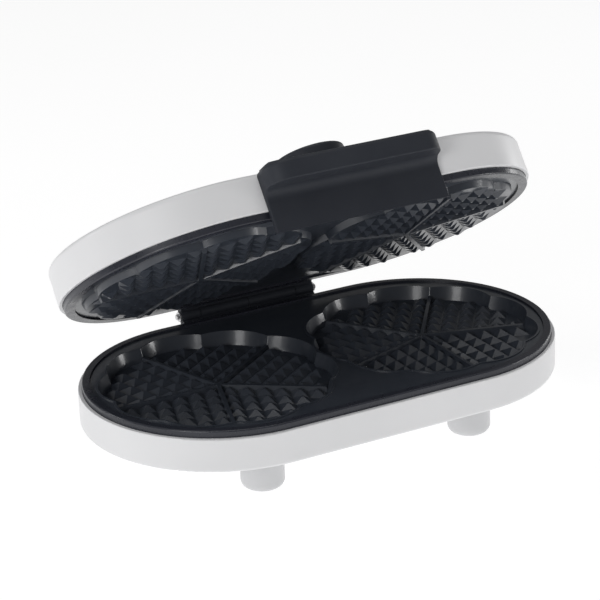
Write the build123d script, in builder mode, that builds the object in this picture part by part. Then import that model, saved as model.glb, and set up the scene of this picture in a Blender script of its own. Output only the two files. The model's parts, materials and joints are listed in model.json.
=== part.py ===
"""Double heart-waffle maker: stadium-shaped base and lid, two moulds, rear hinge, handle and thermostat dial.

Millimetres, +Z up. The table is z = 0. Every lid piece is drawn with the lid closed and then swung open.
"""
from build123d import *
import math
import os

# Housing outline, a stadium seen from above, and the heights of its bands
BODY_LENGTH = 420.0
BODY_WIDTH = 238.0
LID_OVERHANG = 2.0
FOOT_HEIGHT = 35.1
BASE_BAND = 28.7
LID_BAND = 32.1
SHELL_WALL = 3.0
SHELL_FLOOR = 2.5
BASE_EDGE_RADIUS = 3.0
LID_EDGE_RADIUS = 5.0
LIP_RADIUS = 0.8

# Black frames round the baking plates
FRAME_RISE = 5.9
FRAME_FIT = 0.3
FRAME_LIP = 6.5
FRAME_LIP_THICKNESS = 2.4
FRAME_WALL = 2.5
FRAME_SKIRT = 8.0
FRAME_LEDGE = 2.8
FRAME_EDGE_RADIUS = 1.4
CLOSING_GAP = 0.5
TAB_HALF_LENGTH = 46.0
TAB_DEPTH = 12.0

# Baking plates
PLATE_RECESS = 1.7
PLATE_FIT = 0.3
FLANGE_THICKNESS = 3.0
MOULD_SPACING = 194.0
MOULD_Y = -2.0
MOULD_DEPTH = 11.2
MOULD_DRAFT = 18.0
MOULD_FLOOR = 2.5
NOTCH_RADIUS = 92.0
TIP_RADIUS = 98.5
NOTCH_FILLET = 2.0
BEAD_WIDTH = 1.8
BEAD_HEIGHT = 0.8
HEARTS = 5
DIVIDER_HEIGHT = 5.0
DIVIDER_WIDTH = 4.6
DIVIDER_DRAFT = 10.0
DIVIDER_BITE = 1.5
CELL_PITCH = 14.5
CELL_GROOVE = 0.4
CELLS_PER_SIDE = 6
PYRAMID_HEIGHT = 4.7
PYRAMID_TIP = 0.8
CELL_MARGIN = 3.0
# The upper plate has raised islands instead of cups; shut, they stand inside the lower moulds
ISLAND_HEIGHT = 5.6
ISLAND_CLEARANCE = 0.6
ISLAND_RELIEF = 3.8
ISLAND_SKIN = 3.2
ISLAND_RECESS_RADIUS = 87.0
RELIEF_MARGIN = 0.8
# The direction of one divider in each mould, counted from +X
LEFT_DIVIDER = 36.0
RIGHT_DIVIDER = 54.0

# Heating rings, their clamps and the heat shields
HEATER_RING_RADIUS = 55.0
HEATER_TUBE = 3.25
HEATER_OPENING = 30.0
HEATER_TAIL = 14.0
HEATER_SEAT = 0.1
CLAMP_ANGLES = (90.0, 180.0, 270.0)
CLAMP_BOSS_RADIUS = 4.0
CLAMP_BOSS_RING = 44.0
CLAMP_LENGTH = 24.0
CLAMP_WIDTH = 11.0
CLAMP_THICKNESS = 1.2
CLAMP_EDGE = 1.2
SHIELD_RADIUS = 86.0
SHIELD_SHEET = 0.8
SHIELD_RIM = 6.0
SHIELD_DROP = 3.2
CENTRE_BOSS_RADIUS = 5.0

# Screws: shank radius, head radius, head height, and the clearance of a hole round a shank
SCREW_SHANK = 1.9
SCREW_HEAD = 3.6
SCREW_HEAD_HEIGHT = 2.2
SCREW_CLEARANCE = 0.25
THREAD_GAP = 0.02
POST_RADIUS = 4.2
CASE_SCREW_X = 38.0
PLATE_SCREW_X = 15.0
SCREW_ROW_Y = 100.5
SCREW_GRIP = 2.2
SOCKET_DEPTH = 8.0

# Feet
FOOT_X = 97.3
FOOT_Y = 75.2
FOOT_RADIUS = 17.9
FOOT_EDGE_RADIUS = 6.5
PAD_RADIUS = 10.0
PAD_THICKNESS = 2.2
PAD_PROUD = 0.6
PAD_FIT = 0.1
FOOT_ROOF = 8.0
FOOT_BOSS_HEIGHT = 4.0
FOOT_BOSS_RADIUS = 7.0

# Hinge
HINGE_BEHIND = 15.1
HINGE_ABOVE = 4.3
OPEN_ANGLE = 36.46
KNUCKLE_RADIUS = 5.4
KNUCKLE_SPLIT = 46.9
KNUCKLE_END = 64.6
KNUCKLE_GAP = 0.5
KNUCKLE_CLEARANCE = 0.5
WEB_RADIUS = 3.0
PIN_RADIUS = 2.5
PIN_CLEARANCE = 0.05
PIN_OVERHANG = 4.0
PIN_CHAMFER = 0.5
CLIP_THICKNESS = 1.2
CLIP_RADIUS = 4.4
LEAF_THICKNESS = 4.5
LEAF_HEIGHT = 20.0
LEAF_SKIN = 0.8
BASE_LEAF_TOP = 5.0
LID_LEAF_BOTTOM = 4.0
LEAF_SEAT = 0.05
LEAF_ARM = 6.0
HINGE_SCREW_X_BASE = 30.0
HINGE_SCREW_X_LID = 55.9

# Cord gland in the back wall, and the parts behind it
GLAND_X = 80.0
GLAND_HEIGHT = 14.0
GLAND_BORE = 4.0
GLAND_BODY = 6.5
GLAND_COLLAR = 9.0
GLAND_COLLAR_LENGTH = 2.5
GLAND_NOSE = 7.0
GLAND_NOSE_LENGTH = 9.0
GLAND_INSIDE = 6.0
GLAND_EDGE = 0.8
GLAND_FIT = 0.1
TERMINAL_LENGTH = 34.0
TERMINAL_DEPTH = 16.0
TERMINAL_HEIGHT = 13.0
TERMINAL_EDGE = 0.8
TERMINAL_Y = 78.0
TERMINAL_WAYS = 3
TERMINAL_PITCH = 10.0
TERMINAL_BORE = 2.0
TERMINAL_SCREW_RADIUS = 2.4
TERMINAL_SCREW_DEPTH = 4.0
TERMINAL_SCREW_RECESS = 0.8
FUSE_RADIUS = 2.2
FUSE_LENGTH = 14.0
FUSE_Y = -72.0
FUSE_CLIP_SHEET = 0.8
FUSE_CLIP_LENGTH = 8.0
FUSE_CLIP_FOOT = 7.0

# Handle: skirt in front of the lid wall, bar with a finger groove below it, and the cover on the lid
HANDLE_HALF = 78.0
HANDLE_BOTTOM = 19.6
SKIRT_THICKNESS = 3.3
BAR_REACH = 27.0
BAR_HEIGHT = 17.5
BAR_CORNER = 18.0
GROOVE_RADIUS = 8.0
HANDLE_WALL = 3.0
HANDLE_EDGE = 4.0
SKIRT_EDGE = 1.2
EDGE_TOLERANCE = 0.02
HANDLE_SEAT = 0.05
COVER_THICKNESS = 8.0
COVER_RISE = 14.0
COVER_WALL = 2.5
COVER_PAD_RADIUS = 38.0
COVER_FIT = 0.2
COVER_EDGE = 2.0
COVER_SHOULDER = 50.0
COVER_BRIM = 1.0
HANDLE_SCREW_X = 55.0
HANDLE_SCREW_DROP = 9.0
HANDLE_BOSS_RADIUS = 4.5
HANDLE_BOSS_LENGTH = 8.0

# Thermostat, its dial and the two lamps
DIAL_Y = -65.0
DIAL_RADIUS = 30.0
DIAL_HEIGHT = 14.0
DIAL_GAP = 0.5
DIAL_EDGE = 3.0
DIAL_WALL = 2.0
DIAL_HUB = 6.5
POINTER_LENGTH = 20.0
POINTER_WIDTH = 2.4
POINTER_DEPTH = 0.8
SHAFT_RADIUS = 3.0
SHAFT_CLEARANCE = 0.05
SHAFT_FLAT = 1.0
BUSH_RADIUS = 4.6
BUSH_CLEARANCE = 0.2
BUSH_PROUD = 2.6
NUT_ACROSS = 13.0
NUT_HEIGHT = 2.2
NUT_GAP = 0.3
THERMOSTAT_SIDE = 28.0
THERMOSTAT_HEIGHT = 13.0
THERMOSTAT_EDGE = 2.0
BULB_RADIUS = 2.2
BULB_LENGTH = 30.0
BULB_EDGE = 0.8
BULB_Y = -51.0
CAPILLARY_RADIUS = 0.8
CAPILLARY_REACH = 8.0
CAPILLARY_BEND = 3.0
LAMP_X = 48.0
LAMP_Y = -104.0
LAMP_RADIUS = 3.0
LAMP_PROUD = 1.2
LAMP_FIT = 0.15
HOLDER_RADIUS = 4.6
HOLDER_HEIGHT = 12.0

# Heights worked out from the sizes above
FLOOR_Z = FOOT_HEIGHT
BASE_TOP_Z = FLOOR_Z + BASE_BAND
FRAME_TOP_Z = BASE_TOP_Z + FRAME_RISE
CLOSING_Z = FRAME_TOP_Z + CLOSING_GAP / 2
LID_BOTTOM_Z = 2 * CLOSING_Z - BASE_TOP_Z
LID_TOP_Z = LID_BOTTOM_Z + LID_BAND
INNER_FLOOR_Z = FLOOR_Z + SHELL_FLOOR
INNER_TOP_Z = LID_TOP_Z - SHELL_FLOOR
FLANGE_TOP_Z = FRAME_TOP_Z - PLATE_RECESS
FLANGE_BOTTOM_Z = FLANGE_TOP_Z - FLANGE_THICKNESS
LEDGE_BOTTOM_Z = FLANGE_BOTTOM_Z - FRAME_LEDGE
MOULD_FLOOR_Z = FLANGE_TOP_Z - MOULD_DEPTH
CUP_BOTTOM_Z = MOULD_FLOOR_Z - MOULD_FLOOR
HEATER_Z = CUP_BOTTOM_Z - HEATER_SEAT - HEATER_TUBE
CLAMP_TOP_Z = HEATER_Z - HEATER_TUBE - HEATER_SEAT
SHIELD_TOP_Z = CLAMP_TOP_Z - CLAMP_THICKNESS - SHIELD_DROP
CLAMP_BOSS_HEIGHT = CUP_BOTTOM_Z - CLAMP_TOP_Z
CENTRE_BOSS_HEIGHT = CUP_BOTTOM_Z - SHIELD_TOP_Z
ISLAND_TOP_Z = FLANGE_TOP_Z + ISLAND_HEIGHT
ISLAND_BACK_Z = ISLAND_TOP_Z - ISLAND_SKIN
HEATER_LIFT = ISLAND_BACK_Z - CUP_BOTTOM_Z
HINGE_Y = BODY_WIDTH / 2 + HINGE_BEHIND
HINGE_Z = BASE_TOP_Z + HINGE_ABOVE

# Outlines worked out from the sizes above
LID_WIDTH = BODY_WIDTH + 2 * LID_OVERHANG
FRAME_INSET = SHELL_WALL + FRAME_FIT
RING_INSET = FRAME_INSET + FRAME_LIP
PLATE_INSET = RING_INSET + PLATE_FIT
LEDGE_INSET = RING_INSET + FRAME_LEDGE
BASE_BACK_Y = BODY_WIDTH / 2
LID_BACK_Y = LID_WIDTH / 2
WALL_DRAFT_STEP = MOULD_DEPTH * math.tan(math.radians(MOULD_DRAFT))
ISLAND_STEP = ISLAND_CLEARANCE + ISLAND_HEIGHT * math.tan(math.radians(MOULD_DRAFT))
LOBES = 2 * HEARTS
LOBE_STEP = 360.0 / LOBES
HEART_STEP = 360.0 / HEARTS
MOULDS = (
    ((-MOULD_SPACING / 2, MOULD_Y), LEFT_DIVIDER),
    ((MOULD_SPACING / 2, MOULD_Y), RIGHT_DIVIDER),
)
MOULD_CENTRES = [centre for centre, divider in MOULDS]
CLOSING_PLANE = Plane.XY.offset(CLOSING_Z)
SCREW_HOLE = SCREW_SHANK + SCREW_CLEARANCE
THREAD_HOLE = SCREW_SHANK + THREAD_GAP
LID_SWING = Pos(0, HINGE_Y, HINGE_Z) * Rot(-OPEN_ANGLE, 0, 0) * Pos(0, -HINGE_Y, -HINGE_Z)

TAB_Y = BODY_WIDTH / 2 - RING_INSET - TAB_DEPTH / 2
CASE_SCREWS = [(x, y) for x in (-CASE_SCREW_X, CASE_SCREW_X) for y in (-SCREW_ROW_Y, SCREW_ROW_Y)]
PLATE_SCREWS = [(x, y) for x in (-PLATE_SCREW_X, PLATE_SCREW_X) for y in (-SCREW_ROW_Y, SCREW_ROW_Y)]
LID_SCREWS = [(x, -SCREW_ROW_Y) for x in (-CASE_SCREW_X, CASE_SCREW_X)]
FEET = [(x, y) for x in (-FOOT_X, FOOT_X) for y in (-FOOT_Y, FOOT_Y)]


def polar(centre, radius, degrees):
    """Point at a radius and direction from a mould's centre."""
    angle = math.radians(degrees)
    return (centre[0] + radius * math.cos(angle), centre[1] + radius * math.sin(angle))


def stadium(inset, overhang=0.0, mode=Mode.ADD):
    """Housing outline drawn in by an inset, inside the open sketch."""
    grow = 2 * (overhang - inset)
    return SlotOverall(BODY_LENGTH + grow, BODY_WIDTH + grow, mode=mode)


def stadium_block(z, height, inset, overhang=0.0, mode=Mode.ADD):
    """Prism of the housing outline, inside the open part."""
    with BuildSketch(Plane.XY.offset(z)) as outline:
        stadium(inset, overhang)
    extrude(outline.sketch, amount=height, mode=mode)


def scalloped(centre, divider, grow):
    """Ten-lobed mould outline, inside the open sketch: a notch at every divider and at every heart's dip."""
    notch = NOTCH_RADIUS + grow
    tip = TIP_RADIUS + grow
    with BuildLine() as outline:
        for lobe in range(LOBES):
            start = divider + lobe * LOBE_STEP
            ThreePointArc(
                polar(centre, notch, start),
                polar(centre, tip, start + LOBE_STEP / 2),
                polar(centre, notch, start + LOBE_STEP),
            )
    face = make_face(outline.edges())
    fillet(face.vertices(), radius=NOTCH_FILLET)


def screw_group(spots, z, length, direction=1):
    """Pan-head screws standing on a level at several spots, heads on the far side, inside the open part."""
    for radius, reach in ((SCREW_HEAD, -SCREW_HEAD_HEIGHT), (SCREW_SHANK, length)):
        with BuildSketch(Plane.XY.offset(z)) as outline:
            with Locations(*spots):
                Circle(radius)
        extrude(outline.sketch, amount=direction * reach)


def holes(spots, z, radius, depth):
    """Round holes cut from a level, inside the open part."""
    with BuildSketch(Plane.XY.offset(z)) as outline:
        with Locations(*spots):
            Circle(radius)
    extrude(outline.sketch, amount=depth, mode=Mode.SUBTRACT)


def back_plane(y):
    """Plane across the part at a depth, its normal towards the back, with x across and z up."""
    return Plane(origin=(0, y, 0), x_dir=(-1, 0, 0), z_dir=(0, 1, 0))


def row_back(spots, y, radius, depth, mode=Mode.ADD):
    """Round bars or holes along +Y from a depth, at (x, z) spots, inside the open part."""
    with BuildSketch(back_plane(y)) as outline:
        with Locations(*[(-x, z) for x, z in spots]):
            Circle(radius)
    extrude(outline.sketch, amount=depth, mode=mode)


# Base housing: a tray with screw posts, foot bosses and the gland's hole
with BuildPart() as base_shell:
    stadium_block(FLOOR_Z, BASE_BAND, 0.0)
    fillet(base_shell.faces().sort_by(Axis.Z)[0].edges(), radius=BASE_EDGE_RADIUS)
    fillet(base_shell.faces().sort_by(Axis.Z)[-1].edges(), radius=LIP_RADIUS)
    stadium_block(INNER_FLOOR_Z, BASE_BAND, SHELL_WALL, mode=Mode.SUBTRACT)
    with BuildSketch(Plane.XY.offset(INNER_FLOOR_Z)):
        with Locations(*CASE_SCREWS):
            Circle(POST_RADIUS)
    extrude(amount=LEDGE_BOTTOM_Z - INNER_FLOOR_Z)
    with BuildSketch(Plane.XY.offset(INNER_FLOOR_Z)):
        with Locations(*FEET):
            Circle(FOOT_BOSS_RADIUS)
    extrude(amount=FOOT_BOSS_HEIGHT)
    holes(CASE_SCREWS, FLOOR_Z, SCREW_HOLE, LEDGE_BOTTOM_Z - FLOOR_Z)
    holes(CASE_SCREWS, FLOOR_Z, SCREW_HEAD + SCREW_CLEARANCE, SOCKET_DEPTH)
    holes(FEET, FLOOR_Z, THREAD_HOLE, SHELL_FLOOR + FOOT_BOSS_HEIGHT)
    row_back(
        [(GLAND_X, FLOOR_Z + GLAND_HEIGHT)],
        BASE_BACK_Y - 2 * SHELL_WALL,
        GLAND_BODY + GLAND_FIT,
        3 * SHELL_WALL,
        Mode.SUBTRACT,
    )
    row_back(
        [(x, FLOOR_Z + GLAND_HEIGHT) for x in (-HINGE_SCREW_X_BASE, HINGE_SCREW_X_BASE)],
        BASE_BACK_Y - 2 * SHELL_WALL,
        SCREW_HOLE,
        3 * SHELL_WALL,
        Mode.SUBTRACT,
    )
base_shell.part.label = "base_shell"


def frame_ring(overhang):
    """Black ring round a plate, inside the open part: outer wall, top lip, inner wall, ledge and two tabs."""
    skirt_bottom = BASE_TOP_Z - FRAME_SKIRT
    stadium_block(skirt_bottom, FRAME_TOP_Z - skirt_bottom, FRAME_INSET, overhang)
    top_edge = faces().sort_by(Axis.Z)[-1].edges()
    fillet(top_edge, radius=FRAME_EDGE_RADIUS)
    hollow = LEDGE_BOTTOM_Z - skirt_bottom
    stadium_block(skirt_bottom, hollow, FRAME_INSET + FRAME_WALL, overhang, Mode.SUBTRACT)
    channel = FRAME_TOP_Z - FRAME_LIP_THICKNESS - LEDGE_BOTTOM_Z
    with BuildSketch(Plane.XY.offset(LEDGE_BOTTOM_Z)) as trough:
        stadium(FRAME_INSET + FRAME_WALL, overhang)
        stadium(RING_INSET - FRAME_WALL, mode=Mode.SUBTRACT)
    extrude(trough.sketch, amount=channel, mode=Mode.SUBTRACT)
    stadium_block(LEDGE_BOTTOM_Z, FRAME_TOP_Z - LEDGE_BOTTOM_Z, LEDGE_INSET, mode=Mode.SUBTRACT)
    stadium_block(FLANGE_BOTTOM_Z, FRAME_TOP_Z - FLANGE_BOTTOM_Z, RING_INSET, mode=Mode.SUBTRACT)
    with BuildSketch(Plane.XY.offset(LEDGE_BOTTOM_Z)) as tabs:
        with Locations((0, -TAB_Y), (0, TAB_Y)):
            Rectangle(2 * TAB_HALF_LENGTH, TAB_DEPTH)
    extrude(tabs.sketch, amount=FRAME_LEDGE)
    holes(PLATE_SCREWS, LEDGE_BOTTOM_Z, SCREW_HOLE, FRAME_LEDGE)
    holes(CASE_SCREWS, LEDGE_BOTTOM_Z, THREAD_HOLE, FRAME_LEDGE)


with BuildPart() as base_frame:
    frame_ring(0.0)
base_frame.part.label = "base_frame"

# Rhombic cells of one heart: their sides run along its two dividers
cell_side = CELL_PITCH - CELL_GROOVE
half_angle = math.radians(HEART_STEP / 2)
cell_reach = cell_side * math.cos(half_angle)
cell_spread = cell_side * math.sin(half_angle)
cell_inradius = cell_side * math.sin(2 * half_angle) / 2
floor_radius = NOTCH_RADIUS - WALL_DRAFT_STEP - CELL_MARGIN
cell_centres = []
for row in range(CELLS_PER_SIDE):
    for column in range(CELLS_PER_SIDE):
        along = (row + column + 1) * CELL_PITCH * math.cos(half_angle)
        across = (row - column) * CELL_PITCH * math.sin(half_angle)
        if math.hypot(along, across) < floor_radius:
            cell_centres.append((along, across))


def heart_pyramids(height, grow):
    """One heart's pyramids on z = 0, cut to the mould's outline."""
    slope = math.degrees(math.atan((cell_inradius - PYRAMID_TIP) / height))
    with BuildPart() as pyramids:
        with BuildSketch():
            with Locations(*cell_centres):
                Polygon(
                    (-cell_reach, 0),
                    (0, -cell_spread),
                    (cell_reach, 0),
                    (0, cell_spread),
                    align=None,
                )
        extrude(amount=height, taper=slope)
        with BuildSketch():
            scalloped((0.0, 0.0), HEART_STEP / 2, grow)
        extrude(amount=height, mode=Mode.INTERSECT)
    return pyramids.part


def mould_dividers(centre, divider, z, height, reach):
    """Ridges between a mould's hearts, standing on a level, inside the open part."""
    with BuildSketch(Plane.XY.offset(z)) as ridges:
        for heart in range(HEARTS):
            direction = divider + heart * HEART_STEP
            with Locations(Location((*polar(centre, reach / 2, direction), 0), (0, 0, direction))):
                Rectangle(reach, DIVIDER_WIDTH)
    extrude(ridges.sketch, amount=height, taper=DIVIDER_DRAFT)


def heart_places(centre, divider, z):
    """Places of a mould's five fields of pyramids."""
    turns = [divider + (heart + 1 / 2) * HEART_STEP for heart in range(HEARTS)]
    return [Pos(*centre, z) * Rot(0, 0, turn) for turn in turns]


def plate_bosses(centre, back_z):
    """Bosses on a plate's back for the clamps and the heat shield, inside the open part."""
    clamp_spots = [polar(centre, CLAMP_BOSS_RING, angle) for angle in CLAMP_ANGLES]
    for spots, radius, height in (
        ([centre], CENTRE_BOSS_RADIUS, CENTRE_BOSS_HEIGHT),
        (clamp_spots, CLAMP_BOSS_RADIUS, CLAMP_BOSS_HEIGHT),
    ):
        with BuildSketch(Plane.XY.offset(back_z)) as bosses:
            with Locations(*spots):
                Circle(radius)
        extrude(bosses.sketch, amount=-height)
    holes(clamp_spots, back_z - CLAMP_BOSS_HEIGHT, THREAD_HOLE, CLAMP_BOSS_HEIGHT)
    holes([centre], back_z - CENTRE_BOSS_HEIGHT, THREAD_HOLE, SOCKET_DEPTH)


# Lower baking plate: flange, two cups with beaded rims, dividers, pyramids, and bosses on the back
cup_pyramids = heart_pyramids(PYRAMID_HEIGHT, MOULD_FLOOR / 2 - WALL_DRAFT_STEP)
cup_reach = NOTCH_RADIUS - WALL_DRAFT_STEP + DIVIDER_BITE
with BuildPart() as lower_plate:
    stadium_block(FLANGE_BOTTOM_Z, FLANGE_THICKNESS, PLATE_INSET)
    for centre, divider in MOULDS:
        with BuildSketch(Plane.XY.offset(FLANGE_TOP_Z)):
            scalloped(centre, divider, BEAD_WIDTH)
        extrude(amount=BEAD_HEIGHT)
        with BuildSketch(Plane.XY.offset(CUP_BOTTOM_Z)):
            scalloped(centre, divider, MOULD_FLOOR - WALL_DRAFT_STEP)
        extrude(amount=FLANGE_BOTTOM_Z - CUP_BOTTOM_Z)
        with BuildSketch(Plane.XY.offset(FLANGE_TOP_Z + BEAD_HEIGHT)):
            scalloped(centre, divider, 0.0)
        with BuildSketch(Plane.XY.offset(MOULD_FLOOR_Z)):
            scalloped(centre, divider, -WALL_DRAFT_STEP)
        loft(ruled=True, mode=Mode.SUBTRACT)
        mould_dividers(centre, divider, MOULD_FLOOR_Z, DIVIDER_HEIGHT, cup_reach)
        for place in heart_places(centre, divider, MOULD_FLOOR_Z):
            add(place * cup_pyramids)
        plate_bosses(centre, CUP_BOTTOM_Z)
    holes(PLATE_SCREWS, FLANGE_BOTTOM_Z, THREAD_HOLE, SCREW_GRIP)
lower_plate.part.label = "lower_plate"

# Upper baking plate, drawn face up: flange, two raised islands hollowed from behind, dividers and pyramids
island_pyramids = heart_pyramids(ISLAND_RELIEF, -ISLAND_STEP - RELIEF_MARGIN)
island_reach = NOTCH_RADIUS - ISLAND_STEP - RELIEF_MARGIN
with BuildPart() as upper_plate_drawn:
    stadium_block(FLANGE_BOTTOM_Z, FLANGE_THICKNESS, PLATE_INSET)
    for centre, divider in MOULDS:
        with BuildSketch(Plane.XY.offset(FLANGE_TOP_Z)):
            scalloped(centre, divider, -ISLAND_CLEARANCE)
        with BuildSketch(Plane.XY.offset(ISLAND_TOP_Z)):
            scalloped(centre, divider, -ISLAND_STEP)
        loft(ruled=True)
        with BuildSketch(Plane.XY.offset(FLANGE_BOTTOM_Z)):
            with Locations(centre):
                Circle(ISLAND_RECESS_RADIUS)
        extrude(amount=ISLAND_BACK_Z - FLANGE_BOTTOM_Z, mode=Mode.SUBTRACT)
        mould_dividers(centre, divider, ISLAND_TOP_Z, ISLAND_RELIEF, island_reach)
        for place in heart_places(centre, divider, ISLAND_TOP_Z):
            add(place * island_pyramids)
        plate_bosses(centre, ISLAND_BACK_Z)
    holes(PLATE_SCREWS, FLANGE_BOTTOM_Z, THREAD_HOLE, SCREW_GRIP)

# Screws that hold the plate on the frame's tabs from behind
with BuildPart() as lower_plate_screws:
    screw_group(PLATE_SCREWS, LEDGE_BOTTOM_Z, FRAME_LEDGE + SCREW_GRIP)
lower_plate_screws.part.label = "lower_plate_screws"

# Heating rings under the cups, each open towards the middle with two straight cold ends
with BuildPart() as lower_heaters:
    for centre in MOULD_CENTRES:
        inward = 180.0 if centre[0] > 0 else 0.0
        with BuildLine(Plane.XY.offset(HEATER_Z)) as ring:
            first = polar(centre, HEATER_RING_RADIUS, inward + HEATER_OPENING)
            last = polar(centre, HEATER_RING_RADIUS, inward - HEATER_OPENING)
            PolarLine(first, HEATER_TAIL, inward + HEATER_OPENING - 90.0)
            CenterArc(centre, HEATER_RING_RADIUS, inward + HEATER_OPENING, 360.0 - 2 * HEATER_OPENING)
            PolarLine(last, HEATER_TAIL, inward - HEATER_OPENING + 90.0)
        ring_wire = ring.wires()[0]
        with BuildSketch(Plane(origin=ring_wire @ 0, z_dir=ring_wire % 0)):
            Circle(HEATER_TUBE)
        sweep(path=ring_wire)
lower_heaters.part.label = "lower_heaters"

# Straps that press the rings against the cups, one screw each
with BuildPart() as lower_heater_clamps:
    for centre in MOULD_CENTRES:
        with BuildSketch(Plane.XY.offset(CLAMP_TOP_Z)):
            for angle in CLAMP_ANGLES:
                spot = polar(centre, (CLAMP_BOSS_RING + HEATER_RING_RADIUS) / 2, angle)
                with Locations(Location((*spot, 0), (0, 0, angle))):
                    RectangleRounded(CLAMP_LENGTH, CLAMP_WIDTH, CLAMP_EDGE)
        extrude(amount=-CLAMP_THICKNESS)
        clamp_spots = [polar(centre, CLAMP_BOSS_RING, angle) for angle in CLAMP_ANGLES]
        holes(clamp_spots, CLAMP_TOP_Z, SCREW_HOLE, -CLAMP_THICKNESS)
lower_heater_clamps.part.label = "lower_heater_clamps"

with BuildPart() as lower_clamp_screws:
    for centre in MOULD_CENTRES:
        clamp_spots = [polar(centre, CLAMP_BOSS_RING, angle) for angle in CLAMP_ANGLES]
        screw_group(clamp_spots, CLAMP_TOP_Z - CLAMP_THICKNESS, CLAMP_THICKNESS + SCREW_GRIP * 2)
lower_clamp_screws.part.label = "lower_clamp_screws"

# Round heat shields, one screw each into the cup's centre boss
with BuildPart() as lower_shields:
    for centre in MOULD_CENTRES:
        with BuildSketch(Plane.XY.offset(SHIELD_TOP_Z - SHIELD_SHEET)):
            with Locations(centre):
                Circle(SHIELD_RADIUS)
        extrude(amount=SHIELD_SHEET + SHIELD_RIM)
        with BuildSketch(Plane.XY.offset(SHIELD_TOP_Z)):
            with Locations(centre):
                Circle(SHIELD_RADIUS - SHIELD_SHEET)
        extrude(amount=SHIELD_RIM, mode=Mode.SUBTRACT)
        holes([centre], SHIELD_TOP_Z, SCREW_HOLE, -SHIELD_SHEET)
lower_shields.part.label = "lower_shields"

with BuildPart() as lower_shield_screws:
    screw_group(MOULD_CENTRES, SHIELD_TOP_Z - SHIELD_SHEET, SHIELD_SHEET + 2 * SCREW_GRIP)
lower_shield_screws.part.label = "lower_shield_screws"

# Long screws from underneath through the posts into the frame's tabs
with BuildPart() as base_case_screws:
    socket_z = FLOOR_Z + SOCKET_DEPTH
    screw_group(CASE_SCREWS, socket_z, LEDGE_BOTTOM_Z + SCREW_GRIP - socket_z)
base_case_screws.part.label = "base_case_screws"

# Four round feet with a pocket for the screw and a soft pad in the sole
with BuildPart() as feet:
    sole_z = PAD_PROUD
    with BuildSketch(Plane.XY.offset(sole_z)):
        with Locations(*FEET):
            Circle(FOOT_RADIUS)
    extrude(amount=FLOOR_Z - sole_z)
    fillet(feet.faces().group_by(Axis.Z)[0].edges(), radius=FOOT_EDGE_RADIUS)
    holes(FEET, sole_z, PAD_RADIUS + PAD_FIT, PAD_THICKNESS - PAD_PROUD)
    holes(FEET, sole_z, SCREW_HEAD + SCREW_CLEARANCE, FLOOR_Z - FOOT_ROOF - sole_z)
    holes(FEET, sole_z, SCREW_HOLE, FLOOR_Z - sole_z)
feet.part.label = "feet"

with BuildPart() as foot_pads:
    with BuildSketch():
        with Locations(*FEET):
            Circle(PAD_RADIUS)
    extrude(amount=PAD_THICKNESS)
foot_pads.part.label = "foot_pads"

with BuildPart() as foot_screws:
    screw_group(FEET, FLOOR_Z - FOOT_ROOF, FOOT_ROOF + SHELL_FLOOR + SCREW_GRIP)
foot_screws.part.label = "foot_screws"


def hinge_web(x_from, x_to, wall_y, wall_low, wall_high, side, knuckle):
    """Web from a leaf to its own knuckle, or hollowed to clear the other half's, inside the open part."""
    with BuildSketch(Plane.YZ.offset(x_from)) as profile:
        with Locations((HINGE_Y, HINGE_Z + side * (KNUCKLE_RADIUS - WEB_RADIUS))):
            Circle(WEB_RADIUS)
        with Locations((wall_y + LEAF_THICKNESS / 2, (wall_low + wall_high) / 2)):
            Rectangle(LEAF_THICKNESS, wall_high - wall_low)
        make_hull()
        with Locations((HINGE_Y, HINGE_Z)):
            if knuckle:
                Circle(KNUCKLE_RADIUS)
            else:
                Circle(KNUCKLE_RADIUS + KNUCKLE_CLEARANCE, mode=Mode.SUBTRACT)
    extrude(profile.sketch, amount=x_to - x_from)


def pin_bore():
    """Bore for the hinge pin through everything in the open part."""
    with BuildSketch(Plane.YZ.offset(-KNUCKLE_END)) as bore:
        with Locations((HINGE_Y, HINGE_Z)):
            Circle(PIN_RADIUS + PIN_CLEARANCE)
    extrude(bore.sketch, amount=2 * KNUCKLE_END, mode=Mode.SUBTRACT)


# Fixed half of the hinge: a leaf on the back wall, two middle knuckles, and webs that clear the lid's knuckles
base_leaf_top = BASE_TOP_Z - BASE_LEAF_TOP
middle_end = KNUCKLE_SPLIT - KNUCKLE_GAP / 2
outer_end = KNUCKLE_SPLIT + KNUCKLE_GAP / 2
with BuildPart() as base_hinge_bracket:
    leaf_y = BASE_BACK_Y + LEAF_SEAT
    with BuildSketch(back_plane(leaf_y)):
        with Locations((0, base_leaf_top - LEAF_HEIGHT / 2)):
            RectangleRounded(2 * KNUCKLE_END, LEAF_HEIGHT, LEAF_THICKNESS / 2)
    extrude(amount=LEAF_THICKNESS)
    for x_from, x_to, knuckle in (
        (-KNUCKLE_END, -middle_end, False),
        (-middle_end, -KNUCKLE_GAP / 2, True),
        (KNUCKLE_GAP / 2, middle_end, True),
        (middle_end, KNUCKLE_END, False),
    ):
        hinge_web(x_from, x_to, leaf_y, base_leaf_top - LEAF_ARM, base_leaf_top, -1, knuckle)
    pin_bore()
    row_back(
        [(x, FLOOR_Z + GLAND_HEIGHT) for x in (-HINGE_SCREW_X_BASE, HINGE_SCREW_X_BASE)],
        BASE_BACK_Y,
        THREAD_HOLE,
        LEAF_THICKNESS - LEAF_SKIN,
        Mode.SUBTRACT,
    )
base_hinge_bracket.part.label = "base_hinge_bracket"

with BuildPart() as base_hinge_screws:
    screw_spots = [(x, FLOOR_Z + GLAND_HEIGHT) for x in (-HINGE_SCREW_X_BASE, HINGE_SCREW_X_BASE)]
    inner_wall_y = BASE_BACK_Y - SHELL_WALL
    row_back(screw_spots, inner_wall_y, SCREW_SHANK, SHELL_WALL + SCREW_GRIP)
    row_back(screw_spots, inner_wall_y, SCREW_HEAD, -SCREW_HEAD_HEIGHT)
base_hinge_screws.part.label = "base_hinge_screws"

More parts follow.
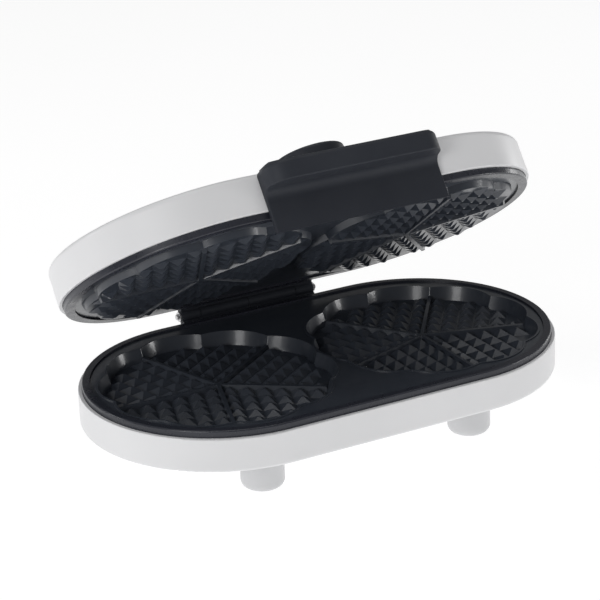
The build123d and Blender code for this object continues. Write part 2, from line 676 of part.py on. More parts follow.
# Moving half of the hinge: a leaf on the lid's back wall, two outer knuckles, and a web between them
lid_leaf_bottom = LID_BOTTOM_Z + LID_LEAF_BOTTOM
lid_leaf_mid = lid_leaf_bottom + LEAF_HEIGHT / 2
with BuildPart() as lid_hinge_ears:
    leaf_y = LID_BACK_Y + LEAF_SEAT
    with BuildSketch(back_plane(leaf_y)):
        with Locations((0, lid_leaf_mid)):
            RectangleRounded(2 * KNUCKLE_END, LEAF_HEIGHT, LEAF_THICKNESS / 2)
    extrude(amount=LEAF_THICKNESS)
    for x_from, x_to, knuckle in (
        (-KNUCKLE_END, -outer_end, True),
        (-outer_end, outer_end, False),
        (outer_end, KNUCKLE_END, True),
    ):
        hinge_web(x_from, x_to, leaf_y, lid_leaf_bottom, lid_leaf_bottom + LEAF_ARM, 1, knuckle)
    pin_bore()
    row_back(
        [(-HINGE_SCREW_X_LID, lid_leaf_mid), (HINGE_SCREW_X_LID, lid_leaf_mid)],
        LID_BACK_Y,
        THREAD_HOLE,
        LEAF_THICKNESS - LEAF_SKIN,
        Mode.SUBTRACT,
    )
lid_hinge_ears.part.label = "lid_hinge_ears"

with BuildPart() as lid_hinge_screws:
    screw_spots = [(-HINGE_SCREW_X_LID, lid_leaf_mid), (HINGE_SCREW_X_LID, lid_leaf_mid)]
    inner_wall_y = LID_BACK_Y - SHELL_WALL
    row_back(screw_spots, inner_wall_y, SCREW_SHANK, SHELL_WALL + SCREW_GRIP)
    row_back(screw_spots, inner_wall_y, SCREW_HEAD, -SCREW_HEAD_HEIGHT)
lid_hinge_screws.part.label = "lid_hinge_screws"

with BuildPart() as hinge_pin:
    with BuildSketch(Plane.YZ.offset(-KNUCKLE_END - PIN_OVERHANG)):
        with Locations((HINGE_Y, HINGE_Z)):
            Circle(PIN_RADIUS)
    extrude(amount=2 * (KNUCKLE_END + PIN_OVERHANG))
    chamfer(hinge_pin.edges().filter_by(GeomType.CIRCLE), length=PIN_CHAMFER)
hinge_pin.part.label = "hinge_pin"

with BuildPart() as hinge_pin_clips:
    for clip_x in (-KNUCKLE_END - KNUCKLE_GAP - CLIP_THICKNESS, KNUCKLE_END + KNUCKLE_GAP):
        with BuildSketch(Plane.YZ.offset(clip_x)):
            with Locations((HINGE_Y, HINGE_Z)):
                Circle(CLIP_RADIUS)
                Circle(PIN_RADIUS + PIN_CLEARANCE / 2, mode=Mode.SUBTRACT)
        extrude(amount=CLIP_THICKNESS)
hinge_pin_clips.part.label = "hinge_pin_clips"

# Gland in the back wall, without its cord
gland_spots = [(GLAND_X, FLOOR_Z + GLAND_HEIGHT)]
gland_inner_y = BASE_BACK_Y - SHELL_WALL - GLAND_INSIDE
with BuildPart() as cord_gland:
    row_back(gland_spots, gland_inner_y, GLAND_BODY, SHELL_WALL + GLAND_INSIDE)
    row_back(gland_spots, BASE_BACK_Y + LEAF_SEAT, GLAND_COLLAR, GLAND_COLLAR_LENGTH)
    row_back(gland_spots, BASE_BACK_Y, GLAND_NOSE, GLAND_NOSE_LENGTH)
    fillet(cord_gland.faces().sort_by(Axis.Y)[-1].edges(), radius=GLAND_EDGE)
    gland_run = SHELL_WALL + GLAND_INSIDE + GLAND_NOSE_LENGTH
    row_back(gland_spots, gland_inner_y, GLAND_BORE, gland_run, Mode.SUBTRACT)
cord_gland.part.label = "cord_gland"

# Ceramic terminal block on the floor, with three ways and their screws
terminal_ways = [((way - (TERMINAL_WAYS - 1) / 2) * TERMINAL_PITCH, TERMINAL_Y) for way in range(TERMINAL_WAYS)]
terminal_top_z = INNER_FLOOR_Z + TERMINAL_HEIGHT
with BuildPart() as terminal_block:
    with BuildSketch(Plane.XY.offset(INNER_FLOOR_Z)):
        with Locations((0, TERMINAL_Y)):
            RectangleRounded(TERMINAL_LENGTH, TERMINAL_DEPTH, TERMINAL_EDGE)
    extrude(amount=TERMINAL_HEIGHT)
    way_z = INNER_FLOOR_Z + TERMINAL_HEIGHT / 2
    row_back(
        [(x, way_z) for x, y in terminal_ways],
        TERMINAL_Y - TERMINAL_DEPTH / 2,
        TERMINAL_BORE,
        TERMINAL_DEPTH,
        Mode.SUBTRACT,
    )
    holes(terminal_ways, terminal_top_z, TERMINAL_SCREW_RADIUS, -TERMINAL_SCREW_DEPTH)
terminal_block.part.label = "terminal_block"

with BuildPart() as terminal_screws:
    with BuildSketch(Plane.XY.offset(terminal_top_z - TERMINAL_SCREW_DEPTH)):
        with Locations(*terminal_ways):
            Circle(TERMINAL_SCREW_RADIUS - THREAD_GAP)
    extrude(amount=TERMINAL_SCREW_DEPTH - TERMINAL_SCREW_RECESS)
terminal_screws.part.label = "terminal_screws"

# Thermal fuse against the back of the plate, in its sheet clip
fuse_z = FLANGE_BOTTOM_Z - HEATER_SEAT - FUSE_RADIUS
with BuildPart() as thermal_fuse:
    with BuildSketch(Plane.YZ.offset(-FUSE_LENGTH / 2)):
        with Locations((FUSE_Y, fuse_z)):
            Circle(FUSE_RADIUS)
    extrude(amount=FUSE_LENGTH)
thermal_fuse.part.label = "thermal_fuse"

with BuildPart() as fuse_clip:
    clip_inner = FUSE_RADIUS + HEATER_SEAT
    with BuildSketch(Plane.YZ.offset(-FUSE_CLIP_LENGTH / 2)):
        with Locations((FUSE_Y, fuse_z)):
            Circle(clip_inner + FUSE_CLIP_SHEET)
        with Locations((FUSE_Y, FLANGE_BOTTOM_Z - FUSE_CLIP_SHEET / 2)):
            Rectangle(2 * (clip_inner + FUSE_CLIP_FOOT), FUSE_CLIP_SHEET)
        with Locations((FUSE_Y, fuse_z)):
            Circle(clip_inner, mode=Mode.SUBTRACT)
        with Locations((FUSE_Y, FLANGE_BOTTOM_Z)):
            Rectangle(2 * clip_inner, 2 * clip_inner, mode=Mode.SUBTRACT)
    extrude(amount=FUSE_CLIP_LENGTH)
fuse_clip.part.label = "fuse_clip"

# Lid housing: a cap with the holes for the dial's bush, the lamps, the handle and the hinge
bar_top_z = LID_TOP_Z
handle_screw_z = bar_top_z - HANDLE_SCREW_DROP
lid_front_y = -LID_BACK_Y
lamp_spots = [(-LAMP_X, LAMP_Y), (LAMP_X, LAMP_Y)]
with BuildPart() as lid_shell:
    stadium_block(LID_BOTTOM_Z, LID_BAND, 0.0, LID_OVERHANG)
    fillet(lid_shell.faces().sort_by(Axis.Z)[-1].edges(), radius=LID_EDGE_RADIUS)
    fillet(lid_shell.faces().sort_by(Axis.Z)[0].edges(), radius=LIP_RADIUS)
    stadium_block(LID_BOTTOM_Z, LID_BAND - SHELL_FLOOR, SHELL_WALL, LID_OVERHANG, Mode.SUBTRACT)
    post_foot_z = 2 * CLOSING_Z - LEDGE_BOTTOM_Z
    with BuildSketch(Plane.XY.offset(post_foot_z)):
        with Locations(*LID_SCREWS):
            Circle(POST_RADIUS)
    extrude(amount=INNER_TOP_Z - post_foot_z)
    holes(LID_SCREWS, post_foot_z, SCREW_HOLE, LID_TOP_Z - post_foot_z)
    holes(LID_SCREWS, LID_TOP_Z, SCREW_HEAD + SCREW_CLEARANCE, -SOCKET_DEPTH)
    holes([(0, DIAL_Y)], INNER_TOP_Z, BUSH_RADIUS + BUSH_CLEARANCE, SHELL_FLOOR)
    holes(lamp_spots, INNER_TOP_Z, LAMP_RADIUS + LAMP_FIT, SHELL_FLOOR)
    row_back(
        [(-HANDLE_SCREW_X, handle_screw_z), (HANDLE_SCREW_X, handle_screw_z)],
        lid_front_y,
        SCREW_HOLE,
        2 * SHELL_WALL,
        Mode.SUBTRACT,
    )
    row_back(
        [(-HINGE_SCREW_X_LID, lid_leaf_mid), (HINGE_SCREW_X_LID, lid_leaf_mid)],
        LID_BACK_Y - 2 * SHELL_WALL,
        SCREW_HOLE,
        2 * SHELL_WALL,
        Mode.SUBTRACT,
    )
lid_shell.part.label = "lid_shell"

with BuildPart() as lid_frame_drawn:
    frame_ring(LID_OVERHANG)


def mirrored(source, name, lift=0.0):
    """The lid's copy of a piece, lifted and then reflected in the closing plane."""
    with BuildPart() as copy:
        mirror(Pos(0, 0, lift) * source.part, about=CLOSING_PLANE)
    copy.part.label = name
    return copy


lid_frame = mirrored(lid_frame_drawn, "lid_frame")
upper_plate = mirrored(upper_plate_drawn, "upper_plate")
upper_plate_screws = mirrored(lower_plate_screws, "upper_plate_screws")
upper_heaters = mirrored(lower_heaters, "upper_heaters", HEATER_LIFT)
upper_heater_clamps = mirrored(lower_heater_clamps, "upper_heater_clamps", HEATER_LIFT)
upper_clamp_screws = mirrored(lower_clamp_screws, "upper_clamp_screws", HEATER_LIFT)
upper_shields = mirrored(lower_shields, "upper_shields", HEATER_LIFT)
upper_shield_screws = mirrored(lower_shield_screws, "upper_shield_screws", HEATER_LIFT)

# Two screws under the handle cover, down through the posts into the lid frame
with BuildPart() as lid_case_screws:
    socket_z = LID_TOP_Z - SOCKET_DEPTH
    screw_group(LID_SCREWS, socket_z, socket_z - post_foot_z + SCREW_GRIP, -1)
lid_case_screws.part.label = "lid_case_screws"

# Handle: skirt over the lid's front wall, bar with a finger groove below, hollow from above
grip_back_y = lid_front_y - HANDLE_SEAT
skirt_y = grip_back_y - SKIRT_THICKNESS
bar_front_y = lid_front_y - BAR_REACH
bar_bottom_z = bar_top_z - BAR_HEIGHT
handle_bottom_z = LID_BOTTOM_Z - HANDLE_BOTTOM
shelf_z = bar_top_z - HANDLE_WALL
with BuildPart() as handle_grip:
    with BuildSketch(Plane.YZ.offset(-HANDLE_HALF)):
        with BuildLine():
            Polyline(
                (skirt_y, bar_bottom_z - GROOVE_RADIUS),
                (skirt_y, handle_bottom_z),
                (grip_back_y, handle_bottom_z),
                (grip_back_y, bar_top_z),
                (bar_front_y, bar_top_z),
                (bar_front_y, bar_bottom_z),
                (skirt_y - GROOVE_RADIUS, bar_bottom_z),
            )
            RadiusArc(
                (skirt_y - GROOVE_RADIUS, bar_bottom_z),
                (skirt_y, bar_bottom_z - GROOVE_RADIUS),
                GROOVE_RADIUS,
            )
        make_face()
    extrude(amount=2 * HANDLE_HALF)
    bar_corners = handle_grip.edges().filter_by(Axis.Z).group_by(Axis.Y)[0]
    fillet(bar_corners, radius=BAR_CORNER)
    fillet(handle_grip.faces().sort_by(Axis.Z)[-1].edges().sort_by(Axis.Y)[:-1], radius=HANDLE_EDGE)
    skirt_corners = handle_grip.edges().filter_by(Axis.Z).filter_by(
        lambda edge: abs(edge.center().Y - skirt_y) < EDGE_TOLERANCE
    )
    fillet(skirt_corners, radius=SKIRT_EDGE)
    pocket_back_y = grip_back_y - HANDLE_WALL
    pocket_front_y = bar_front_y + HANDLE_WALL
    pocket_half = HANDLE_HALF - HANDLE_WALL
    with BuildSketch(Plane.XY.offset(bar_bottom_z + HANDLE_WALL)) as pocket:
        with Locations((0, (pocket_back_y + pocket_front_y) / 2)):
            Rectangle(2 * pocket_half, pocket_back_y - pocket_front_y)
        fillet(pocket.vertices().group_by(Axis.Y)[0], radius=BAR_CORNER - HANDLE_WALL)
    extrude(amount=BAR_HEIGHT, mode=Mode.SUBTRACT)
    with BuildSketch(Plane.XY.offset(shelf_z)):
        with Locations((0, grip_back_y)):
            Rectangle(2 * pocket_half, 2 * HANDLE_WALL)
    extrude(amount=BAR_HEIGHT, mode=Mode.SUBTRACT)
    row_back(
        [(-HANDLE_SCREW_X, handle_screw_z), (HANDLE_SCREW_X, handle_screw_z)],
        pocket_back_y,
        HANDLE_BOSS_RADIUS,
        -HANDLE_BOSS_LENGTH,
    )
    row_back(
        [(-HANDLE_SCREW_X, handle_screw_z), (HANDLE_SCREW_X, handle_screw_z)],
        grip_back_y,
        THREAD_HOLE,
        -HANDLE_BOSS_LENGTH,
        Mode.SUBTRACT,
    )
handle_grip.part.label = "handle_grip"

with BuildPart() as handle_screws:
    screw_spots = [(-HANDLE_SCREW_X, handle_screw_z), (HANDLE_SCREW_X, handle_screw_z)]
    row_back(screw_spots, lid_front_y + SHELL_WALL, SCREW_SHANK, -SHELL_WALL - HANDLE_BOSS_LENGTH + SCREW_GRIP)
    row_back(screw_spots, lid_front_y + SHELL_WALL, SCREW_HEAD, SCREW_HEAD_HEIGHT)
handle_screws.part.label = "handle_screws"

# Cover: closes the hollow bar, then widens over the lid's top round the dial
cover_bottom_z = LID_TOP_Z + HANDLE_SEAT
cover_top_z = cover_bottom_z + COVER_THICKNESS
cover_front_y = pocket_front_y + COVER_FIT
cover_half = pocket_half - COVER_FIT
with BuildPart() as handle_cover:
    with BuildSketch(Plane.XY.offset(cover_bottom_z)):
        with Locations((0, grip_back_y - HANDLE_WALL)):
            Rectangle(2 * cover_half, HANDLE_WALL)
        with Locations((0, DIAL_Y)):
            Circle(COVER_PAD_RADIUS)
        make_hull()
    extrude(amount=COVER_THICKNESS)
    fillet(handle_cover.faces().sort_by(Axis.Z)[-1].edges(), radius=COVER_EDGE)
    with BuildSketch(Plane.XY.offset(shelf_z + HANDLE_SEAT)) as lid_of_bar:
        front_depth = grip_back_y - COVER_FIT - cover_front_y
        with Locations((0, cover_front_y + front_depth / 2)):
            Rectangle(2 * cover_half, front_depth)
        fillet(lid_of_bar.vertices().group_by(Axis.Y)[0], radius=BAR_CORNER - HANDLE_WALL - COVER_FIT)
    extrude(amount=cover_top_z - shelf_z - HANDLE_SEAT)
    cover_rise_y = grip_back_y + COVER_RISE
    with BuildSketch(Plane.YZ.offset(-HANDLE_HALF)):
        Polygon(
            (cover_front_y - BAR_REACH, bar_top_z),
            (cover_front_y, bar_top_z),
            (cover_rise_y, cover_top_z),
            (cover_rise_y, cover_top_z + BAR_REACH),
            (cover_front_y - BAR_REACH, cover_top_z + BAR_REACH),
            align=None,
        )
    extrude(amount=2 * HANDLE_HALF, mode=Mode.SUBTRACT)
    with BuildSketch(back_plane(bar_front_y)):
        for side in (-1, 1):
            Polygon(
                (side * HANDLE_HALF, bar_top_z + COVER_BRIM),
                (side * cover_half, bar_top_z + COVER_BRIM),
                (side * COVER_SHOULDER, cover_top_z),
                (side * COVER_SHOULDER, cover_top_z + BAR_REACH),
                (side * HANDLE_HALF, cover_top_z + BAR_REACH),
                align=None,
            )
    extrude(amount=BODY_WIDTH, mode=Mode.SUBTRACT)
    with BuildSketch(Plane.XY.offset(cover_bottom_z)):
        with Locations((0, DIAL_Y)):
            Circle(COVER_PAD_RADIUS - COVER_WALL)
        with Locations((0, cover_rise_y)):
            Rectangle(2 * LAMP_X, COVER_WALL)
        make_hull()
    extrude(amount=COVER_THICKNESS - COVER_WALL, mode=Mode.SUBTRACT)
    holes([(0, DIAL_Y)], cover_bottom_z, NUT_ACROSS / 2 + 2 * NUT_GAP, COVER_THICKNESS)
    holes(lamp_spots, cover_bottom_z, LAMP_RADIUS + LAMP_FIT, COVER_THICKNESS)
handle_cover.part.label = "handle_cover"

# Thermostat under the lid's top, its bush and nut, and the sensing bulb on the back of the plate
bush_top_z = LID_TOP_Z + BUSH_PROUD
thermostat_top_z = INNER_TOP_Z - HANDLE_SEAT
with BuildPart() as thermostat_body:
    with BuildSketch(Plane.XY.offset(thermostat_top_z)):
        with Locations((0, DIAL_Y)):
            RectangleRounded(THERMOSTAT_SIDE, THERMOSTAT_SIDE, THERMOSTAT_EDGE)
    extrude(amount=-THERMOSTAT_HEIGHT)
    with BuildSketch(Plane.XY.offset(thermostat_top_z)):
        with Locations((0, DIAL_Y)):
            Circle(BUSH_RADIUS)
    extrude(amount=bush_top_z - thermostat_top_z)
    shaft_bottom_z = thermostat_top_z - THERMOSTAT_HEIGHT / 2
    holes([(0, DIAL_Y)], shaft_bottom_z, SHAFT_RADIUS + SHAFT_CLEARANCE, bush_top_z - shaft_bottom_z)
thermostat_body.part.label = "thermostat_body"

with BuildPart() as thermostat_nut:
    with BuildSketch(Plane.XY.offset(LID_TOP_Z)):
        with Locations((0, DIAL_Y)):
            RegularPolygon(NUT_ACROSS / 2, 6, major_radius=True)
            Circle(BUSH_RADIUS + THREAD_GAP, mode=Mode.SUBTRACT)
    extrude(amount=NUT_HEIGHT)
thermostat_nut.part.label = "thermostat_nut"

plate_back_z = 2 * CLOSING_Z - FLANGE_BOTTOM_Z
bulb_z = plate_back_z + HEATER_SEAT + BULB_RADIUS
with BuildPart() as thermostat_bulb:
    with BuildSketch(back_plane(BULB_Y)):
        with Locations((0, bulb_z)):
            Circle(BULB_RADIUS)
    extrude(amount=-BULB_LENGTH)
    fillet(thermostat_bulb.faces().sort_by(Axis.Y)[0].edges(), radius=BULB_EDGE)
    body_face_y = DIAL_Y + THERMOSTAT_SIDE / 2 + HANDLE_SEAT
    tube_top_z = thermostat_top_z - THERMOSTAT_HEIGHT / 2
    drop_y = BULB_Y + CAPILLARY_REACH
    with BuildLine(Plane.YZ) as capillary:
        FilletPolyline(
            (body_face_y, tube_top_z),
            (drop_y, tube_top_z),
            (drop_y, bulb_z),
            (BULB_Y, bulb_z),
            radius=CAPILLARY_BEND,
        )
    capillary_wire = capillary.wires()[0]
    with BuildSketch(Plane(origin=capillary_wire @ 0, z_dir=capillary_wire % 0)):
        Circle(CAPILLARY_RADIUS)
    sweep(path=capillary_wire)
thermostat_bulb.part.label = "thermostat_bulb"

# Dial: a round cap with a hub on the flatted shaft
dial_bottom_z = cover_top_z + DIAL_GAP
dial_top_z = dial_bottom_z + DIAL_HEIGHT
shaft_top_z = dial_top_z - 2 * DIAL_WALL
shaft_low_z = shaft_bottom_z + HEATER_SEAT
with BuildPart() as dial_shaft:
    with BuildSketch(Plane.XY.offset(shaft_low_z)):
        with Locations((0, DIAL_Y)):
            Circle(SHAFT_RADIUS)
    extrude(amount=shaft_top_z - shaft_low_z)
    with BuildSketch(Plane.XY.offset(dial_bottom_z)):
        with Locations((0, DIAL_Y + 2 * SHAFT_RADIUS - SHAFT_FLAT)):
            Rectangle(2 * SHAFT_RADIUS, 2 * SHAFT_RADIUS)
    extrude(amount=DIAL_HEIGHT, mode=Mode.SUBTRACT)
dial_shaft.part.label = "dial_shaft"

with BuildPart() as thermostat_dial:
    with BuildSketch(Plane.XY.offset(dial_bottom_z)):
        with Locations((0, DIAL_Y)):
            Circle(DIAL_RADIUS)
    extrude(amount=DIAL_HEIGHT)
    fillet(thermostat_dial.faces().sort_by(Axis.Z)[-1].edges(), radius=DIAL_EDGE)
    with BuildSketch(Plane.XY.offset(dial_bottom_z)):
        with Locations((0, DIAL_Y)):
            Circle(DIAL_RADIUS - DIAL_WALL)
            Circle(DIAL_HUB, mode=Mode.SUBTRACT)
    extrude(amount=DIAL_HEIGHT - DIAL_WALL, mode=Mode.SUBTRACT)
    with BuildSketch(Plane.XY.offset(dial_bottom_z)):
        with Locations((0, DIAL_Y)):
            Circle(SHAFT_RADIUS + SHAFT_CLEARANCE)
            with Locations((0, 2 * SHAFT_RADIUS - SHAFT_FLAT + SHAFT_CLEARANCE)):
                Rectangle(2 * (SHAFT_RADIUS + SHAFT_FLAT), 2 * SHAFT_RADIUS, mode=Mode.SUBTRACT)
    extrude(amount=shaft_top_z - dial_bottom_z + SHAFT_CLEARANCE, mode=Mode.SUBTRACT)
    with BuildSketch(Plane.XY.offset(dial_top_z - POINTER_DEPTH)):
        with Locations((0, DIAL_Y - DIAL_RADIUS + DIAL_EDGE + POINTER_LENGTH / 2)):
            SlotOverall(POINTER_LENGTH, POINTER_WIDTH, rotation=90)
    extrude(amount=POINTER_DEPTH, mode=Mode.SUBTRACT)
thermostat_dial.part.label = "thermostat_dial"

# Signal lamps: domed lenses through the cover, holders under the lid's top
with BuildPart() as lamp_holders:
    with BuildSketch(Plane.XY.offset(INNER_TOP_Z - HANDLE_SEAT)):
        with Locations(*lamp_spots):
            Circle(HOLDER_RADIUS)
            Circle(LAMP_RADIUS + LAMP_FIT, mode=Mode.SUBTRACT)
    extrude(amount=-HOLDER_HEIGHT)
lamp_holders.part.label = "lamp_holders"


def lamp(spot, name):
    """Lens with a rounded top at one spot on the cover."""
    foot_z = INNER_TOP_Z - HOLDER_HEIGHT / 2
    with BuildPart() as lens:
        with BuildSketch(Plane.XY.offset(foot_z)):
            with Locations(spot):
                Circle(LAMP_RADIUS)
        extrude(amount=cover_top_z + LAMP_PROUD - foot_z)
        fillet(lens.faces().sort_by(Axis.Z)[-1].edges(), radius=LAMP_PROUD)
    lens.part.label = name
    return lens


power_lamp = lamp(lamp_spots[0], "power_lamp")
ready_lamp = lamp(lamp_spots[1], "ready_lamp")

BASE_PIECES = [
    base_shell, base_frame, lower_plate, lower_plate_screws, lower_heaters, lower_heater_clamps,
    lower_clamp_screws, lower_shields, lower_shield_screws, base_case_screws, feet, foot_pads, foot_screws,
    base_hinge_bracket, base_hinge_screws, hinge_pin, hinge_pin_clips, cord_gland, terminal_block,
    terminal_screws, thermal_fuse, fuse_clip,
]
LID_PIECES = [
    lid_shell, lid_frame, upper_plate, upper_plate_screws, upper_heaters, upper_heater_clamps,
    upper_clamp_screws, upper_shields, upper_shield_screws, lid_case_screws, lid_hinge_ears, lid_hinge_screws,
    handle_grip, handle_screws, handle_cover, thermostat_body, thermostat_nut, thermostat_bulb,
    lamp_holders, power_lamp, ready_lamp, thermostat_dial, dial_shaft,
]

# The lid stands open, and the origin is on the table in the middle of the whole object's plan
for piece in LID_PIECES:
    piece.part.move(LID_SWING)
boxes = [piece.part.bounding_box() for piece in BASE_PIECES + LID_PIECES]
middle_y = (min(box.min.Y for box in boxes) + max(box.max.Y for box in boxes)) / 2
os.makedirs("parts", exist_ok=True)
for piece in BASE_PIECES + LID_PIECES:
    piece.part.move(Pos(0, -middle_y, 0))
    export_step(piece.part, f"parts/{piece.part.label}.step")
print(f"body centre at y = {-middle_y:.4f}, hinge axis at y = {HINGE_Y - middle_y:.4f}, z = {HINGE_Z:.4f}")
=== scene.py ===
"""Looks of the double waffle maker: procedural materials, soft studio light, the photograph's camera."""
import json
import math

import bpy
from mathutils import Matrix, Vector

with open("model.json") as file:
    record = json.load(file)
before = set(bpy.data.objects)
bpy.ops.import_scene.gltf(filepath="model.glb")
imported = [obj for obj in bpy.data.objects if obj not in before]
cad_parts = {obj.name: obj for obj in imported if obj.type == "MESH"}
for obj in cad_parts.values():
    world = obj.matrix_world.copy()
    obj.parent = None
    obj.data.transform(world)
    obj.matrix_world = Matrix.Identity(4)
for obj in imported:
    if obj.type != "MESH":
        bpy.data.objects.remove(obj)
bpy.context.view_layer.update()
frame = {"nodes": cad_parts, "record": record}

# Studio: a floor that glows, surroundings that brighten overhead, and soft boxes
FLOOR_HALF = 12.0
FLOOR_GLOW = 0.80
WORLD_LOW = 0.06
WORLD_HIGH = 0.38
# name: (place, height of the point it faces, width, height of the box, power)
SOFT_BOXES = {
    "key_left": ((-1.9, -1.3, 0.9), 0.08, 0.9, 0.9, 16.0),
    "top": ((0.1, 0.2, 2.2), 0.05, 1.4, 1.4, 9.0),
    "low_right": ((1.55, -0.85, 0.16), 0.07, 0.42, 0.24, 4.4),
    "low_right_back": ((1.65, 0.30, 0.20), 0.07, 0.30, 0.24, 2.2),
    "left_back": ((-1.6, 0.9, 0.7), 0.08, 0.5, 0.5, 5.0),
}

# The photograph's camera: the angles it looks from, the point it looks at, its distance and its lens
CAMERA_AZIMUTH = -27.998
CAMERA_ELEVATION = 21.355
CAMERA_ROLL = -2.056
CAMERA_TARGET = (-0.017854, -0.0136199, 0.117381)
CAMERA_DISTANCE = 2.01436
LENS = 146.94
SENSOR_WIDTH = 36.0

# Noise values lie mostly between these two; the colour ramp runs over slightly less
NOISE_LOW = 0.3
NOISE_HIGH = 0.7
TONE_LOW = 0.32
TONE_HIGH = 0.68
BLOTCH_DETAIL = 4.0
SHINE_SCALE = 6.0            # gloss varies this much finer than colour
SHINE_ROUGHNESS = 0.6
GRAIN_ROUGHNESS = 0.55
NOISE_DETAIL = 3.0
GRAIN_DEPTH = 0.0002
DEFAULT_IOR = 1.5

# Finishes: darker and lighter tone, range of roughness, scale of the grain, its strength, scale of the blotches
FINISHES = {
    "white_housing": dict(
        dark=(0.755, 0.757, 0.768), light=(0.80, 0.80, 0.812), rough=(0.32, 0.42),
        grain=700.0, bump=0.06, blotch=9.0),
    # the housing's white plastic with painted shade: darker tones standing in for the shade the feet sit in
    "shaded_foot_plastic": dict(
        dark=(0.600, 0.602, 0.612), light=(0.640, 0.642, 0.652), rough=(0.34, 0.44),
        grain=700.0, bump=0.06, blotch=9.0),
    "frame_plastic": dict(
        dark=(0.019, 0.021, 0.030), light=(0.026, 0.028, 0.039), rough=(0.24, 0.34),
        grain=900.0, bump=0.04, blotch=20.0),
    "black_plastic": dict(
        dark=(0.0265, 0.0295, 0.0380), light=(0.0340, 0.0375, 0.0465), rough=(0.42, 0.52),
        grain=1500.0, bump=0.12, blotch=22.0, spec=0.2),
    "dial_plastic": dict(
        dark=(0.0265, 0.0295, 0.0380), light=(0.0345, 0.0380, 0.0470), rough=(0.40, 0.50),
        grain=1500.0, bump=0.12, blotch=22.0, spec=0.2),
    "coated_cast": dict(
        dark=(0.0310, 0.0370, 0.0490), light=(0.0410, 0.0475, 0.0610), rough=(0.30, 0.38),
        grain=900.0, bump=0.03, blotch=26.0, spec=0.5, coat=0.30, coat_rough=0.12),
    "steel": dict(
        dark=(0.50, 0.50, 0.51), light=(0.66, 0.66, 0.67), rough=(0.26, 0.40),
        grain=1200.0, bump=0.1, blotch=40.0, metallic=1.0),
    "shield_sheet": dict(
        dark=(0.62, 0.62, 0.63), light=(0.72, 0.72, 0.73), rough=(0.25, 0.4),
        grain=300.0, bump=0.1, blotch=30.0, metallic=1.0, stretch=(1.0, 30.0, 30.0)),
    "heater_sheath": dict(
        dark=(0.16, 0.13, 0.12), light=(0.32, 0.27, 0.24), rough=(0.35, 0.55),
        grain=800.0, bump=0.15, blotch=30.0, metallic=1.0),
    "foot_rubber": dict(
        dark=(0.03, 0.03, 0.03), light=(0.05, 0.05, 0.05), rough=(0.6, 0.8),
        grain=1200.0, bump=0.4, blotch=60.0),
    "ceramic": dict(
        dark=(0.74, 0.70, 0.63), light=(0.84, 0.81, 0.74), rough=(0.5, 0.7),
        grain=1200.0, bump=0.3, blotch=60.0),
    "lamp_socket": dict(
        dark=(0.62, 0.58, 0.50), light=(0.72, 0.69, 0.61), rough=(0.4, 0.5),
        grain=1200.0, bump=0.15, blotch=60.0),
    "fuse_case": dict(
        dark=(0.60, 0.60, 0.61), light=(0.70, 0.70, 0.71), rough=(0.2, 0.3),
        grain=1200.0, bump=0.1, blotch=60.0, metallic=1.0),
    "copper": dict(
        dark=(0.62, 0.32, 0.20), light=(0.78, 0.46, 0.30), rough=(0.2, 0.35),
        grain=1200.0, bump=0.1, blotch=60.0, metallic=1.0),
    "brass_screw": dict(
        dark=(0.62, 0.47, 0.22), light=(0.76, 0.60, 0.32), rough=(0.2, 0.35),
        grain=1200.0, bump=0.1, blotch=60.0, metallic=1.0),
    "red_lens": dict(
        dark=(0.42, 0.012, 0.010), light=(0.60, 0.03, 0.02), rough=(0.08, 0.14),
        grain=500.0, bump=0.03, blotch=80.0, coat=0.6, coat_rough=0.04),
    "green_lens": dict(
        dark=(0.015, 0.28, 0.06), light=(0.03, 0.42, 0.11), rough=(0.08, 0.14),
        grain=500.0, bump=0.03, blotch=80.0, coat=0.6, coat_rough=0.04),
}
FINISH_OF = {"feet": "shaded_foot_plastic"}     # the feet are the housing's white plastic, painted greyer for the shade under the base
FLOOR_PAPER = dict(
    dark=(0.34, 0.34, 0.34), light=(0.36, 0.36, 0.36), rough=(0.8, 0.9),
    grain=30.0, bump=0.0, blotch=1.0, spec=0.1)


def noise(tree, coord, scale, detail, rough, stretch=None):
    """Noise value in object space; stretch squeezes it along an axis."""
    if stretch:
        mapping = tree.nodes.new("ShaderNodeMapping")
        mapping.inputs["Scale"].default_value = stretch
        tree.links.new(coord, mapping.inputs["Vector"])
        coord = mapping.outputs["Vector"]
    node = tree.nodes.new("ShaderNodeTexNoise")
    node.inputs["Scale"].default_value = scale
    node.inputs["Detail"].default_value = detail
    node.inputs["Roughness"].default_value = rough
    tree.links.new(coord, node.inputs["Vector"])
    return node.outputs["Fac"]


def tones(tree, fac, dark, light):
    """Colour that runs from the dark to the light tone."""
    node = tree.nodes.new("ShaderNodeValToRGB")
    for stop, place, colour in zip(node.color_ramp.elements, (TONE_LOW, TONE_HIGH), (dark, light)):
        stop.position = place
        stop.color = (*colour, 1)
    tree.links.new(fac, node.inputs["Fac"])
    return node.outputs["Color"]


def spread(tree, value, source, target):
    """Maps a value from the source range onto the target range."""
    node = tree.nodes.new("ShaderNodeMapRange")
    node.inputs["From Min"].default_value, node.inputs["From Max"].default_value = source
    node.inputs["To Min"].default_value, node.inputs["To Max"].default_value = target
    tree.links.new(value, node.inputs["Value"])
    return node.outputs["Result"]


